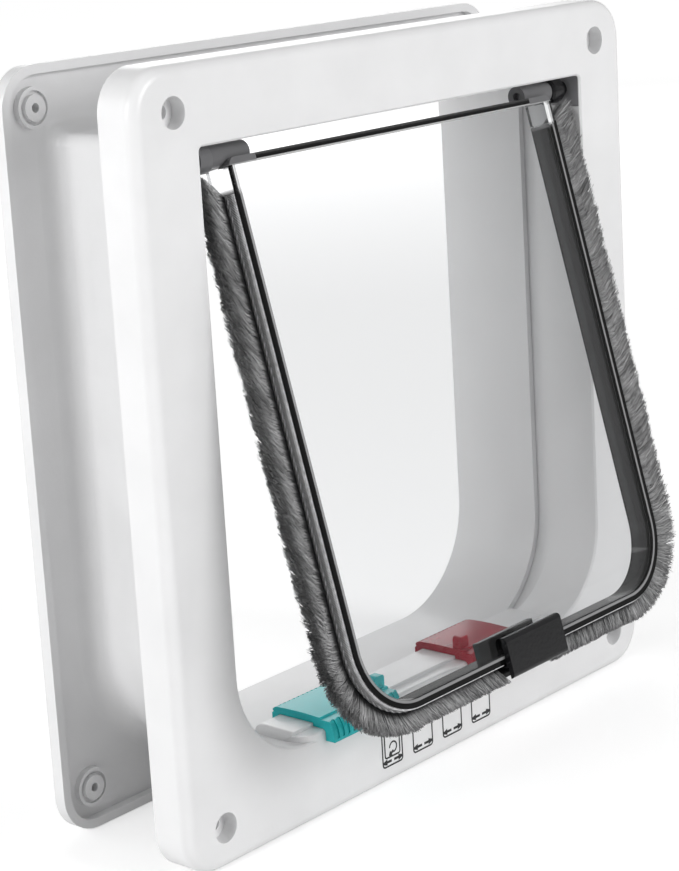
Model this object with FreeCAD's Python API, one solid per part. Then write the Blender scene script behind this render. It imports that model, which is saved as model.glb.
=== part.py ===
"""Pet flap for a door: two telescoping frames, a swinging clear flap and two sliding latches.

The row frame has X to the right, Y from the front frame's face towards the rear frame, and Z up. Its
origin is the centre of the front frame's four screw holes, on the front face. Sizes are in millimetres.
The flap is modelled hanging closed and is then swung out about its hinge to the open rest position.
"""

import FreeCAD
import Part
import math
import os

V = FreeCAD.Vector

# Opening through the front frame
opening_half_width = 91.5
opening_height = 185.1
opening_low_radius = 30.0
opening_top_radius = 1.5
opening_edge_bevel = 0.6

# Screw places, shared by both frames, set out from the opening
screw_to_side = 9.3
screw_to_top = 10.6
screw_to_bottom = 13.3
screw_half_span_x = opening_half_width + screw_to_side
screw_half_span_z = (opening_height + screw_to_top + screw_to_bottom) / 2
opening_top = screw_half_span_z - screw_to_top
opening_bottom = -screw_half_span_z + screw_to_bottom
counterbore_radius = 4.6
counterbore_depth = 5.0
screw_hole_radius = 2.2
front_boss_radius = 7.2

# Front frame, outside, set out from the screws
frame_side_margin = 15.7
frame_top_margin = 13.1
frame_low_margin = 12.7
frame_half_width = screw_half_span_x + frame_side_margin
frame_top = screw_half_span_z + frame_top_margin
frame_bottom = -screw_half_span_z - frame_low_margin
frame_corner_radius = 13.0
frame_depth = 13.5
frame_edge_radius = 3.5
frame_skin = 3.0
frame_side_wall = 2.6

# Tunnel walls and the socket that the rear tube slides in
sill_drop = 5.8
tunnel_bottom = opening_bottom - sill_drop
tunnel_low_radius = 36.0
tunnel_wall = 2.2
collar_end = 19.4
socket_length = 11.6
socket_end = collar_end + socket_length
socket_clearance = 0.35

# Ribs inside the front frame
rib_thickness = 1.8
rib_height = 8.5
rib_pitch = 35.0
rib_count = 5

# Sill ridge that the latches ride on, flush with the front face
ridge_end_gap = 25.5
ridge_half_length = opening_half_width - ridge_end_gap
ridge_front = 0.0
ridge_rear_setback = 0.1
ridge_rear = collar_end - ridge_rear_setback
ridge_rise = 3.0
ridge_top = opening_bottom + ridge_rise
ridge_step = 1.1
ridge_step_y = 5.0
ridge_edge_radius = 1.0
ridge_plan_radius = 8.0
ridge_end_radius = 2.6

# Rear frame
rear_side_margin = 13.2
rear_top_margin = 12.5
rear_half_width = screw_half_span_x + rear_side_margin
rear_top = screw_half_span_z + rear_top_margin
rear_bottom = frame_bottom
door_gap = 41.5
rear_depth = 5.5
rear_floor = 2.5
rear_rim = 2.8
rear_edge_chamfer = 1.2
tube_engagement = 4.4
tube_flare_radius = 6.0
rear_boss_radius = 6.15
rear_boss_height = 2.0
boss_groove_inner = 3.9
boss_groove_outer = 5.1
boss_groove_depth = 1.1
boss_nib_height = 0.5
pilot_radius = 1.4
pilot_depth = 4.2

# Hinge, closed position
hinge_y = 8.0
hinge_drop = 4.7
hinge_z = opening_top - hinge_drop
open_angle = 14.5
barrel_radius = 3.4
barrel_side_gap = 9.5
barrel_length = 15.5
barrel_outer_end = opening_half_width - barrel_side_gap
barrel_inner_end = barrel_outer_end - barrel_length
pin_radius = 1.3
pin_running_clearance = 0.05
pin_fit_clearance = 0.02
pin_inner_setback = 2.0
pin_seat_depth = 3.4
pin_end_gap = 0.1
collar_radius = 4.4
collar_neck_radius = 2.6
collar_side_gap = 0.2
collar_disc = 5.6
collar_chamfer = 0.7

# Hinge keepers let into the side walls, round the hinge axis
keeper_reach_front = 7.1
keeper_reach_rear = 5.2
keeper_drop = 5.8
keeper_rise = 4.4
keeper_thickness = 2.0
keeper_fit = 0.1

# Flap, closed position
flap_front = 3.1
flap_side_gap = 13.9
flap_top_drop = 1.45
flap_low_gap = 11.65
flap_half_width = opening_half_width - flap_side_gap
flap_top = hinge_z - flap_top_drop
flap_bottom = opening_bottom + flap_low_gap
flap_low_radius = 22.0
flap_top_radius = 2.5
flap_inner_top_radius = 1.0
flap_panel = 2.2
flap_flange_wall = 2.0
flap_depth = 10.0
flap_top_depth = 6.0
flap_rear_lip = 1.0
flap_front_lip = 0.4
flap_lip_width = 1.2
flap_front_lip_width = 0.6
lip_top_drop = 8.75

# Latches
green_latch_length = 32.0
green_latch_inset = 10.8
green_latch_left = -ridge_half_length + green_latch_inset
red_latch_length = 26.5
red_latch_left = 15.0
latch_clearance = 0.2
latch_wall = 2.2
latch_crown = 0.3
latch_roll_radius = 2.3
latch_rear_hang = 2.1
latch_front_hang = 4.6
latch_low_edge = 0.8
lip_step_y = 2.1
lip_step_run = 0.4
lip_step = 0.6
lip_band_width = 2.9
lip_knee_reach = 1.2
lip_knee_drop = 1.7
lip_toe_reach = 2.1
lip_base_height = 0.9
lip_rib_pitch = 2.3
lip_rib_share = 0.55
lip_rib_height = 0.5
lip_rib_facets = 4
serration_pitch = 2.1
serration_width = 1.0
serration_depth = 0.7
serration_length = 3.6
serration_slant = 35.0
roll_middle = 45.0
tab_inset = 0.4
tab_width = 4.5
tab_front = 2.9
tab_rear = 5.9
tab_rise = 4.1
tab_corner_radius = 1.2
latch_top = ridge_top + latch_clearance + latch_wall
latch_rear = ridge_rear + latch_clearance + latch_wall
latch_low = ridge_top - latch_front_hang
lip_band_end = lip_step_y - lip_step_run - lip_band_width
tab_top = latch_top + tab_rise
green_tab_left = green_latch_left + green_latch_length - tab_inset - tab_width
red_tab_left = red_latch_left + tab_inset

# Pile seals on the flap's edge
backing_thickness = 0.8
backing_fit = 0.05
seal_base = backing_fit + backing_thickness
seal_top_drop = 10.25
pile_setback = 0.3
pile_side_gap = 1.65
pile_low_gap = 0.35
pile_corner_radius = 31.0
pile_bridge = 0.6
parting_clearance = 0.9

# Magnet clip over the flap's bottom edge
clip_half_length = 14.2
clip_wall = 2.1
clip_fit = 0.1
clip_base = 4.1
clip_front_rise = 7.6
clip_rear_rise = 6.6
clip_edge_radius = 1.4
clip_to_seal = 0.4
groove_inner_end = 5.5
groove_side_clearance = 0.4
groove_top_clearance = 0.45
flap_magnet_size = (9.0, 8.0, 2.4)
magnet_fit = 0.05

# Magnet in the sill
sill_magnet_size = (22.0, 8.0, 3.0)
sill_magnet_roof = 1.6

# Overlap of fused pieces, how far a cutter passes the face that it cuts, and the slack of an edge's place
bite = 1.0
far = 2 * frame_half_width
slack = 0.01


def outline(half_width, low, high, low_radius, high_radius, y):
    """Face of a rounded upright rectangle in the XZ plane at depth y."""
    diagonal = math.sqrt(0.5)
    corners = (
        (half_width - low_radius, low + low_radius, low_radius, 1, -1),
        (half_width - high_radius, high - high_radius, high_radius, 1, 1),
        (-half_width + high_radius, high - high_radius, high_radius, -1, 1),
        (-half_width + low_radius, low + low_radius, low_radius, -1, -1),
    )
    edges = []
    first = last = None
    for x, z, r, sx, sz in corners:
        side = V(x + sx * r, y, z)
        end = V(x, y, z + sz * r)
        middle = V(x + sx * r * diagonal, y, z + sz * r * diagonal)
        start, stop = (end, side) if sx * sz < 0 else (side, end)
        if last is not None:
            edges.append(Part.LineSegment(last, start).toShape())
        else:
            first = start
        edges.append(Part.Arc(start, middle, stop).toShape())
        last = stop
    edges.append(Part.LineSegment(last, first).toShape())
    return Part.Face(Part.Wire(edges))


def prism(half_width, low, high, low_radius, high_radius, y_start, y_end):
    """The outline carried from y_start to y_end."""
    face = outline(half_width, low, high, low_radius, high_radius, y_start)
    return face.extrude(V(0, y_end - y_start, 0))


def opening_prism(offset, y_start, y_end):
    """The front opening's outline, grown by offset."""
    return prism(
        opening_half_width + offset, opening_bottom - offset, opening_top + offset,
        opening_low_radius + offset, opening_top_radius + offset, y_start, y_end,
    )


def tunnel_prism(offset, y_start, y_end):
    """The tunnel's outline behind the sill, grown by offset."""
    return prism(
        opening_half_width + offset, tunnel_bottom - offset, opening_top + offset,
        tunnel_low_radius + offset, opening_top_radius + offset, y_start, y_end,
    )


def box(x0, x1, y0, y1, z0, z1):
    """A box between two corners."""
    return Part.makeBox(x1 - x0, y1 - y0, z1 - z0, V(x0, y0, z0))


def rod_x(radius, x0, x1, y, z):
    """A cylinder along X from x0 to x1."""
    return Part.makeCylinder(radius, x1 - x0, V(x0, y, z), V(1, 0, 0))


def rod_y(radius, y0, y1, x, z):
    """A cylinder along Y from y0 to y1."""
    return Part.makeCylinder(radius, y1 - y0, V(x, y0, z), V(0, 1, 0))


def fillet_where(shape, radius, test):
    """Round the edges whose bounding box passes the test."""
    edges = [e for e in shape.Edges if test(e.BoundBox)]
    return shape.makeFillet(radius, edges)


def chamfer_where(shape, size, test):
    """Bevel the edges whose bounding box passes the test."""
    edges = [e for e in shape.Edges if test(e.BoundBox)]
    return shape.makeChamfer(size, edges)


def screw_places():
    """The four screw axes as (x, z)."""
    return [
        (sx * screw_half_span_x, sz * screw_half_span_z)
        for sx in (-1, 1)
        for sz in (-1, 1)
    ]


def chain(*points):
    """Straight edges through the points, given as (y, z) in the YZ plane."""
    ends = [V(0, y, z) for y, z in points]
    return [Part.LineSegment(a, b).toShape() for a, b in zip(ends, ends[1:])]


def bend(start, middle, end):
    """Arc through three points, given as (y, z) in the YZ plane."""
    return Part.Arc(V(0, *start), V(0, *middle), V(0, *end)).toShape()


def corner_arc(y, z, radius, turn):
    """Quarter arc over the top of a centre: turn 1 from the rear side up, -1 from the top to the front."""
    share = radius * math.sqrt(0.5)
    rear, top, front = (y + radius, z), (y, z + radius), (y - radius, z)
    if turn > 0:
        return bend(rear, (y + share, z + share), top)
    return bend(top, (y - share, z + share), front)


def ridge_profile(offset, low):
    """Section of the sill ridge in the YZ plane, grown by offset, closed at height low."""
    radius = ridge_edge_radius + offset
    rear = ridge_rear + offset
    front = ridge_front - offset
    top = ridge_top + offset
    shelf = top - ridge_step
    step = ridge_step_y - offset
    edges = chain((rear, low), (rear, top - radius))
    edges.append(corner_arc(rear - radius, top - radius, radius, 1))
    edges += chain((rear - radius, top), (step, top), (step, shelf), (front + radius, shelf))
    edges.append(corner_arc(front + radius, shelf - radius, radius, -1))
    edges += chain((front, shelf - radius), (front, low), (rear, low))
    return Part.Face(Part.Wire(edges))


def carried(section, x0, x1):
    """A YZ section carried along X from x0 to x1."""
    face = section.copy()
    face.translate(V(x0, 0, 0))
    return face.extrude(V(x1 - x0, 0, 0))


def ridge_solid():
    """The sill ridge, its two ends rounded in plan and in elevation."""
    half = ridge_half_length
    root = tunnel_bottom - tunnel_wall / 2
    body = carried(ridge_profile(0, root), -half, half)
    plan = box(-half, half, ridge_front, ridge_rear + ridge_plan_radius, root - bite, ridge_top + bite)
    plan = fillet_where(plan, ridge_plan_radius, lambda b: b.ZLength > bite and b.YMax < ridge_front + slack)
    side = prism(
        half, root - 2 * ridge_plan_radius, ridge_top, ridge_end_radius, ridge_end_radius,
        ridge_front - bite, ridge_rear + bite,
    )
    return body.common(plan).common(side)


def front_ribs():
    """Ribs between the front frame's outer wall and its collar, and above and below it."""
    rib_end = frame_skin + rib_height
    half = rib_thickness / 2
    start = frame_skin - bite
    ribs = []
    for i in range(rib_count):
        place = (i - (rib_count - 1) / 2) * rib_pitch
        for side in (-1, 1):
            x0, x1 = sorted((side * (opening_half_width + tunnel_wall), side * (frame_half_width - bite)))
            ribs.append(box(x0, x1, start, rib_end, place - half, place + half))
        ribs.append(box(place - half, place + half, start, rib_end, opening_top + bite, frame_top - bite))
        ribs.append(box(place - half, place + half, start, rib_end, frame_bottom + bite, tunnel_bottom - bite))
    return ribs


def sill_magnet_place():
    """Middle depth of the sill magnet and the roof of its pocket."""
    return (ridge_rear + ridge_front) / 2, ridge_top - ridge_step - sill_magnet_roof


def front_frame():
    """Surround, collar, socket, screw bosses, ribs and sill ridge, moulded as one."""
    shell = prism(
        frame_half_width, frame_bottom, frame_top, frame_corner_radius, frame_corner_radius,
        0, frame_depth,
    )
    shell = fillet_where(shell, frame_edge_radius, lambda b: b.YMax < slack)
    inset = frame_side_wall
    shell = shell.cut(prism(
        frame_half_width - inset, frame_bottom + inset, frame_top - inset,
        frame_corner_radius - inset, frame_corner_radius - inset, frame_skin, frame_depth + bite,
    ))
    wall = socket_clearance + 2 * tunnel_wall
    body = shell.fuse(tunnel_prism(wall, frame_skin - bite, socket_end))
    for x, z in screw_places():
        body = body.fuse(rod_y(front_boss_radius, frame_skin - bite, frame_depth, x, z))
    for rib in front_ribs():
        body = body.fuse(rib)
    body = body.cut(opening_prism(0, -bite, collar_end))
    body = chamfer_where(
        body, opening_edge_bevel,
        lambda b: b.YMax < slack and b.XMin > -opening_half_width - slack
        and b.XMax < opening_half_width + slack and b.ZMin > opening_bottom - slack
        and b.ZMax < opening_top + slack,
    )
    body = body.cut(tunnel_prism(0, ridge_rear, collar_end + bite / 100))
    body = body.cut(tunnel_prism(tunnel_wall + socket_clearance, collar_end, socket_end + bite))
    body = body.fuse(ridge_solid())
    for x, z in screw_places():
        body = body.cut(rod_y(counterbore_radius, -bite, counterbore_depth, x, z))
        body = body.cut(rod_y(screw_hole_radius, 0, frame_depth + bite, x, z))
    for side in (-1, 1):
        x0, x1 = sorted((side * (opening_half_width - bite), side * (opening_half_width + keeper_thickness)))
        body = body.cut(box(
            x0, x1, hinge_y - keeper_reach_front, hinge_y + keeper_reach_rear,
            hinge_z - keeper_drop, hinge_z + keeper_rise,
        ))
        x0, x1 = sorted((side * opening_half_width, side * (opening_half_width + pin_seat_depth)))
        body = body.cut(rod_x(pin_radius + pin_fit_clearance, x0, x1, hinge_y, hinge_z))
    length, depth, _ = sill_magnet_size
    middle, roof = sill_magnet_place()
    body = body.cut(box(
        -length / 2 - magnet_fit, length / 2 + magnet_fit,
        middle - depth / 2 - magnet_fit, middle + depth / 2 + magnet_fit,
        frame_bottom - bite, roof,
    ))
    return body.removeSplitter()


def sill_magnet():
    """Bar magnet in the pocket under the ridge."""
    length, depth, height = sill_magnet_size
    middle, roof = sill_magnet_place()
    return box(-length / 2, length / 2, middle - depth / 2, middle + depth / 2, roof - height, roof)


def rear_frame():
    """Rimmed plate with ringed screw bosses, and the tube that telescopes into the socket."""
    rim_y = frame_depth + door_gap
    floor_y = rim_y + rear_depth - rear_floor
    back_y = rim_y + rear_depth
    tube_start = socket_end - tube_engagement
    radius = frame_corner_radius
    plate = prism(rear_half_width, rear_bottom, rear_top, radius, radius, rim_y, back_y)
    plate = chamfer_where(plate, rear_edge_chamfer, lambda b: b.YMin > back_y - slack)
    plate = plate.cut(prism(
        rear_half_width - rear_rim, rear_bottom + rear_rim, rear_top - rear_rim,
        radius - rear_rim, radius - rear_rim, rim_y - bite, floor_y,
    ))
    body = plate.fuse(tunnel_prism(tunnel_wall, tube_start, back_y)).removeSplitter()
    reach = opening_half_width + tunnel_wall + slack
    body = fillet_where(
        body, tube_flare_radius,
        lambda b: b.YMin > floor_y - slack and b.YMax < floor_y + slack and b.XMax < reach
        and b.XMin > -reach and b.ZMax < opening_top + tunnel_wall + slack
        and b.ZMin > tunnel_bottom - tunnel_wall - slack,
    )
    boss_y = floor_y - rear_boss_height
    for x, z in screw_places():
        body = body.fuse(rod_y(rear_boss_radius, boss_y, floor_y + bite, x, z))
    body = body.cut(tunnel_prism(0, tube_start - bite, back_y + bite))
    for x, z in screw_places():
        groove = rod_y(boss_groove_outer, boss_y - bite, boss_y + boss_groove_depth, x, z)
        groove = groove.cut(rod_y(boss_groove_inner, boss_y - 2 * bite, floor_y, x, z))
        body = body.cut(groove)
        body = body.fuse(rod_y(boss_groove_inner, boss_y - boss_nib_height, floor_y, x, z))
        body = body.cut(rod_y(pilot_radius, boss_y - bite, boss_y - boss_nib_height + pilot_depth, x, z))
    return body.removeSplitter()


def swung(shape):
    """A closed flap piece, swung forward to the open rest position."""
    turned = shape.copy()
    turned.rotate(V(0, hinge_y, hinge_z), V(1, 0, 0), -open_angle)
    return turned


def flap_prism(offset, y_start, y_end):
    """The flap's outline, grown by offset at the sides and the bottom."""
    return prism(
        flap_half_width + offset, flap_bottom - offset, flap_top,
        flap_low_radius + offset, flap_top_radius, y_start, y_end,
    )


def flap_lip(width, start, end):
    """A lip of the given width round the flange, from below the hinge, that holds the seals."""
    ring = flap_prism(width, start, end).cut(flap_prism(-flap_flange_wall / 2, start - bite, end + bite))
    return ring.common(box(-far, far, start, end, -far, flap_top - lip_top_drop))


def flap():
    """Clear panel with a flange, lips that hold the seals, and two hinge barrels."""
    rear = flap_front + flap_depth
    wall = flap_flange_wall
    body = flap_prism(0, flap_front, rear)
    body = body.cut(prism(
        flap_half_width - wall, flap_bottom + wall, flap_top - wall,
        flap_low_radius - wall, flap_inner_top_radius, flap_front + flap_panel, rear + bite,
    ))
    body = body.cut(box(
        -flap_half_width + wall, flap_half_width - wall, flap_front + flap_top_depth, rear + bite,
        flap_top - wall - bite, flap_top + bite,
    ))
    body = body.fuse(flap_lip(flap_rear_lip, rear - flap_lip_width, rear))
    body = body.fuse(flap_lip(flap_front_lip, flap_front, flap_front + flap_front_lip_width))
    bore = pin_radius + pin_running_clearance
    for side in (-1, 1):
        x0, x1 = sorted((side * barrel_inner_end, side * barrel_outer_end))
        body = body.fuse(rod_x(barrel_radius, x0, x1, hinge_y, hinge_z))
        body = body.cut(rod_x(bore, x0 - bite, x1 + bite, hinge_y, hinge_z))
    return swung(body.removeSplitter())


def seal_half(ring, side):
    """The part of a ring beside the flap that belongs to one seal, left or right."""
    x0, x1 = sorted((side * (clip_half_length + clip_to_seal), side * far))
    return ring.common(box(x0, x1, -far, far, -far, flap_top - seal_top_drop))


def seal_backing(side):
    """Woven backing strip between the flap's lips."""
    start = flap_front + flap_front_lip_width + backing_fit
    end = flap_front + flap_depth - flap_lip_width - backing_fit
    ring = flap_prism(seal_base, start, end).cut(flap_prism(backing_fit, start - bite, end + bite))
    return swung(seal_half(ring, side))


def seal_pile(side):
    """Brush pile on its backing, parted where the stop tab of a latch passes under it."""
    start = flap_front + flap_front_lip_width + pile_setback
    end = flap_front + flap_depth - flap_lip_width - pile_setback
    ring = prism(
        opening_half_width - pile_side_gap, latch_top + latch_crown + pile_low_gap, flap_top,
        pile_corner_radius, flap_top_radius, start, end,
    )
    ring = ring.cut(flap_prism(seal_base, start - bite, end + bite))
    tab_left = green_tab_left if side < 0 else red_tab_left
    parting = box(
        tab_left - parting_clearance, tab_left + tab_width + parting_clearance,
        start - bite, end + bite, -far, flap_bottom - seal_base - pile_bridge,
    )
    return swung(seal_half(ring, side).cut(parting))


def magnet_clip():
    """Black channel over the flap's bottom edge, grooved below for the stop tabs."""
    half = clip_half_length
    inner_front = flap_front - clip_fit
    inner_rear = flap_front + flap_depth + clip_fit
    inner_low = flap_bottom - flap_rear_lip - clip_fit
    low = inner_low - clip_base
    front, rear = inner_front - clip_wall, inner_rear + clip_wall
    body = box(-half, half, front, rear, low, flap_bottom + clip_front_rise)
    body = fillet_where(body, clip_edge_radius, lambda b: b.XLength > half)
    body = body.cut(box(
        -half - bite, half + bite, inner_rear, rear + bite, flap_bottom + clip_rear_rise, far,
    ))
    body = body.cut(box(-half - bite, half + bite, inner_front, inner_rear, inner_low, far))
    groove_front = tab_front - groove_side_clearance
    for side, groove_rear in ((-1, tab_rear + groove_side_clearance), (1, rear + bite)):
        x0, x1 = sorted((side * groove_inner_end, side * (half + bite)))
        body = body.cut(box(x0, x1, groove_front, groove_rear, low - bite, tab_top + groove_top_clearance))
    length, depth, height = flap_magnet_size
    middle = (inner_front + inner_rear) / 2
    body = body.cut(box(
        -length / 2 - magnet_fit, length / 2 + magnet_fit,
        middle - depth / 2 - magnet_fit, middle + depth / 2 + magnet_fit,
        inner_low - height - magnet_fit, inner_low + bite,
    ))
    return swung(body.removeSplitter())


def flap_magnet():
    """Bar magnet in the clip."""
    length, depth, height = flap_magnet_size
    middle = flap_front + flap_depth / 2
    top = flap_bottom - flap_rear_lip - clip_fit - magnet_fit
    return swung(box(
        -length / 2, length / 2, middle - depth / 2, middle + depth / 2, top - height, top,
    ))


def lip_points():
    """Outer side of a latch's lip as (y, z): the end of its light band, its knee and its foot."""
    band = (lip_band_end, latch_top - lip_step)
    knee = (lip_band_end - lip_knee_reach, latch_top - lip_step - lip_knee_drop)
    foot = (lip_band_end - lip_toe_reach, latch_low + lip_base_height)
    return band, knee, foot


def latch_section():
    """Outer section of a latch: rolled rear edge, crowned top, stepped front and hanging lip."""
    band, knee, foot = lip_points()
    roll = latch_roll_radius
    rear_low = ridge_top - latch_rear_hang
    top_start = latch_rear - roll
    toe_rear = (ridge_front - latch_clearance + latch_low_edge, latch_low)
    edges = chain((latch_rear, rear_low), (latch_rear, latch_top - roll))
    edges.append(corner_arc(top_start, latch_top - roll, roll, 1))
    edges.append(bend(
        (top_start, latch_top), ((top_start + lip_step_y) / 2, latch_top + latch_crown),
        (lip_step_y, latch_top),
    ))
    edges += chain((lip_step_y, latch_top), (lip_step_y - lip_step_run, latch_top - lip_step), band)
    edges.append(bend(band, knee, foot))
    edges += chain(
        foot, (foot[0], latch_low), toe_rear, (toe_rear[0], rear_low), (latch_rear, rear_low),
    )
    return Part.Face(Part.Wire(edges))


def lip_rib_section():
    """Section of one rib that stands on a latch's lip, above the flat strip at its foot."""
    band, knee, foot = lip_points()
    arc = Part.Arc(*(V(0, *point) for point in (band, knee, foot)))
    curve = [(p.y, p.z) for p in arc.discretize(lip_rib_facets + 1)]
    inside = lip_band_end + bite
    rib = Part.Face(Part.Wire(chain(*curve, (inside, foot[1]), (inside, band[1]), band)))
    rib.translate(V(0, -lip_rib_height, 0))
    return rib


def serration(x):
    """Slanted notch across the middle of the latch's rolled rear edge, like the lay of a rope."""
    roll = latch_roll_radius
    half = serration_width / 2
    notch = box(
        -half, half, roll - serration_depth, roll + serration_depth,
        -serration_length / 2, serration_length / 2,
    )
    notch.rotate(V(0, 0, 0), V(0, 1, 0), serration_slant)
    notch.rotate(V(0, 0, 0), V(1, 0, 0), roll_middle)
    notch.translate(V(x, latch_rear - roll, latch_top - roll))
    return notch


def latch(left, length, tab_left):
    """Saddle over the ridge with a ribbed front lip, a serrated rear edge and a stop tab."""
    right = left + length
    body = carried(latch_section(), left, right)
    count = int(length / lip_rib_pitch)
    pitch = length / count
    rib = lip_rib_section()
    for i in range(count):
        x = left + i * pitch
        body = body.fuse(carried(rib, x, x + pitch * lip_rib_share))
    foot = lip_band_end - lip_toe_reach
    body = body.fuse(box(
        left, right, foot - lip_rib_height, foot + lip_rib_height, latch_low, latch_low + lip_base_height,
    ))
    count = int(length / serration_pitch)
    pitch = length / count
    for i in range(count):
        body = body.cut(serration(left + (i + 0.5) * pitch))
    tab = box(tab_left, tab_left + tab_width, tab_front, tab_rear, ridge_top, tab_top)
    tab = fillet_where(tab, tab_corner_radius, lambda b: b.ZMin > tab_top - slack and b.YLength > bite)
    body = body.fuse(tab)
    body = body.cut(carried(ridge_profile(latch_clearance, latch_low - bite), left - bite, right + bite))
    return body.removeSplitter()


def hinge_pin(side):
    """Steel pin from inside the barrel to its seat in the side wall."""
    inner = barrel_inner_end + pin_inner_setback
    x0, x1 = sorted((side * inner, side * (opening_half_width + pin_seat_depth - pin_end_gap)))
    return rod_x(pin_radius, x0, x1, hinge_y, hinge_z)


def hinge_collar(side):
    """Dark collar on the pin between the barrel and the side wall."""
    start = barrel_outer_end + collar_side_gap
    x0, x1 = sorted((side * start, side * (start + collar_disc)))
    n0, n1 = sorted((side * (start + bite), side * (opening_half_width - pin_fit_clearance)))
    body = rod_x(collar_radius, x0, x1, hinge_y, hinge_z)
    body = chamfer_where(
        body, collar_chamfer, lambda b: abs(abs(b.XMin) - start) < slack and b.XLength < slack,
    )
    body = body.fuse(rod_x(collar_neck_radius, n0, n1, hinge_y, hinge_z))
    bore = pin_radius + pin_fit_clearance
    return body.cut(rod_x(bore, -far * (side < 0), far * (side > 0), hinge_y, hinge_z)).removeSplitter()


def hinge_keeper(side):
    """Grey block let into the side wall round the pin, flush with the wall."""
    x0, x1 = sorted((side * opening_half_width, side * (opening_half_width + keeper_thickness)))
    body = box(
        x0, x1, hinge_y - keeper_reach_front + keeper_fit, hinge_y + keeper_reach_rear - keeper_fit,
        hinge_z - keeper_drop + keeper_fit, hinge_z + keeper_rise - keeper_fit,
    )
    bore = pin_radius + pin_fit_clearance
    return body.cut(rod_x(bore, x0 - bite, x1 + bite, hinge_y, hinge_z))


def main():
    """Build every piece and write it."""
    os.makedirs("parts", exist_ok=True)
    pieces = {
        "front_frame": front_frame(),
        "rear_frame": rear_frame(),
        "flap": flap(),
        "magnet_clip": magnet_clip(),
        "flap_magnet": flap_magnet(),
        "sill_magnet": sill_magnet(),
        "green_latch": latch(green_latch_left, green_latch_length, green_tab_left),
        "red_latch": latch(red_latch_left, red_latch_length, red_tab_left),
    }
    for name, side in (("left", -1), ("right", 1)):
        pieces[name + "_hinge_pin"] = hinge_pin(side)
        pieces[name + "_hinge_collar"] = hinge_collar(side)
        pieces[name + "_hinge_keeper"] = hinge_keeper(side)
        pieces[name + "_seal_backing"] = seal_backing(side)
        pieces[name + "_seal_pile"] = seal_pile(side)
    for name, shape in pieces.items():
        solid = shape.Solids[0] if len(shape.Solids) == 1 else shape
        solid.exportStep("parts/" + name + ".step")
        print(name, len(shape.Solids), shape.isValid(), round(shape.Volume, 1))


main()
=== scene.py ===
"""Finishes, brush seals, printed signs and studio for a pet flap with a clear swinging door."""

import math

import bmesh
import bpy
import numpy as np
from bpy.props import FloatProperty, FloatVectorProperty, IntProperty, PointerProperty
from mathutils import Matrix, Vector


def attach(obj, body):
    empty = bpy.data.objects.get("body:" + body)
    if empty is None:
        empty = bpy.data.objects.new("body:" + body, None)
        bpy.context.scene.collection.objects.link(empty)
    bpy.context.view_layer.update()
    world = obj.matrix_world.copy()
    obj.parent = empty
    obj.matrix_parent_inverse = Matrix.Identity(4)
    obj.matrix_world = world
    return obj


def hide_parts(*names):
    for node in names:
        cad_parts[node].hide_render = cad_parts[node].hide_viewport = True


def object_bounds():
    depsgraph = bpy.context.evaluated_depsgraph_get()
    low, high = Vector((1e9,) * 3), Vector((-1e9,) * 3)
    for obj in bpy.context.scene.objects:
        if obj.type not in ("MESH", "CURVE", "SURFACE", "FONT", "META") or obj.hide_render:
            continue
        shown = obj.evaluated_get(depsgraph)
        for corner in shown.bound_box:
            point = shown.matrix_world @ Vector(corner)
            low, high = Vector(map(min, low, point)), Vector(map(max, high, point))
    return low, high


bl_info = {
    "name": "Pet Flap Dresser",
    "version": (1, 0, 0),
    "blender": (4, 5, 0),
    "location": "View3D > Sidebar > Pet Flap",
    "description": "Adds finishes, brush seals, printed signs and a studio to a pet flap",
    "category": "Object",
}

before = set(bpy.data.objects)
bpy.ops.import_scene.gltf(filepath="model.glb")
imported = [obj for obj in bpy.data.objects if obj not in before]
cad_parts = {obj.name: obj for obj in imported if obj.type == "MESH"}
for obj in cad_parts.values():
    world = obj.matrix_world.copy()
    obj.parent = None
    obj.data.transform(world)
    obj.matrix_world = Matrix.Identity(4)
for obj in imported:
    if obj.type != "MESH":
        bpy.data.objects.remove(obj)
CAD_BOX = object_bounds()

MM = 0.001

# The hinge and how far the flap stands open at rest
HINGE_Y = 8.0
HINGE_Z = 89.2
OPEN_ANGLE = 14.5

# The flap's edge, hanging closed, in millimetres
EDGE_HALF_WIDTH = 77.6
EDGE_BOTTOM = -79.55
EDGE_CORNER = 22.0
EDGE_FRONT = 3.1
EDGE_DEPTH = 10.0

# The seals along that edge: their ends, the pile, its core and the tape below it, in millimetres
SEAL_TOP = 77.5
SEAL_INNER = 14.6
SEAL_STEPS = 180
PILE_FRONT = 7.3
PILE_REAR = 11.6
CORE_FRONT = 7.7
CORE_REAR = 11.3
CORE_TAPER = 0.3
CORE_SHARE = 0.6
TAPE_OFFSET = 0.05
TAPE_THICKNESS = 0.8
TAPE_FRONT = 3.75
TAPE_REAR = 11.85
TAPE_WEAVE = 0.9
TAPE_HEM = 1.9

# The twisted cord: sides, steps in a turn, depth of the groove between its strands, gap to the fibres
# in millimetres, and where its weave starts, past the tape's hem
CORD_SIDES = 10
CORD_STEPS = 9
CORD_GROOVE = 0.16
CORD_GAP = 0.15
CORD_WEAVE = 12.25

# The fibres: how far up the tape they are rooted, how much tufts and fibres stray, and their form
ROOT_SHARE = 0.6
MIDDLE_SHARE = 0.55
TIP_SHARE = 0.75
COMB_STRAY = 0.09
LEAN_STRAY = 0.03
LEAN_FAN = 0.12
BOW = 0.04
WAVE = 0.06
WAVE_LENGTH = 0.017
TUFT_PRIMES = (7919, 104729)

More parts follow.
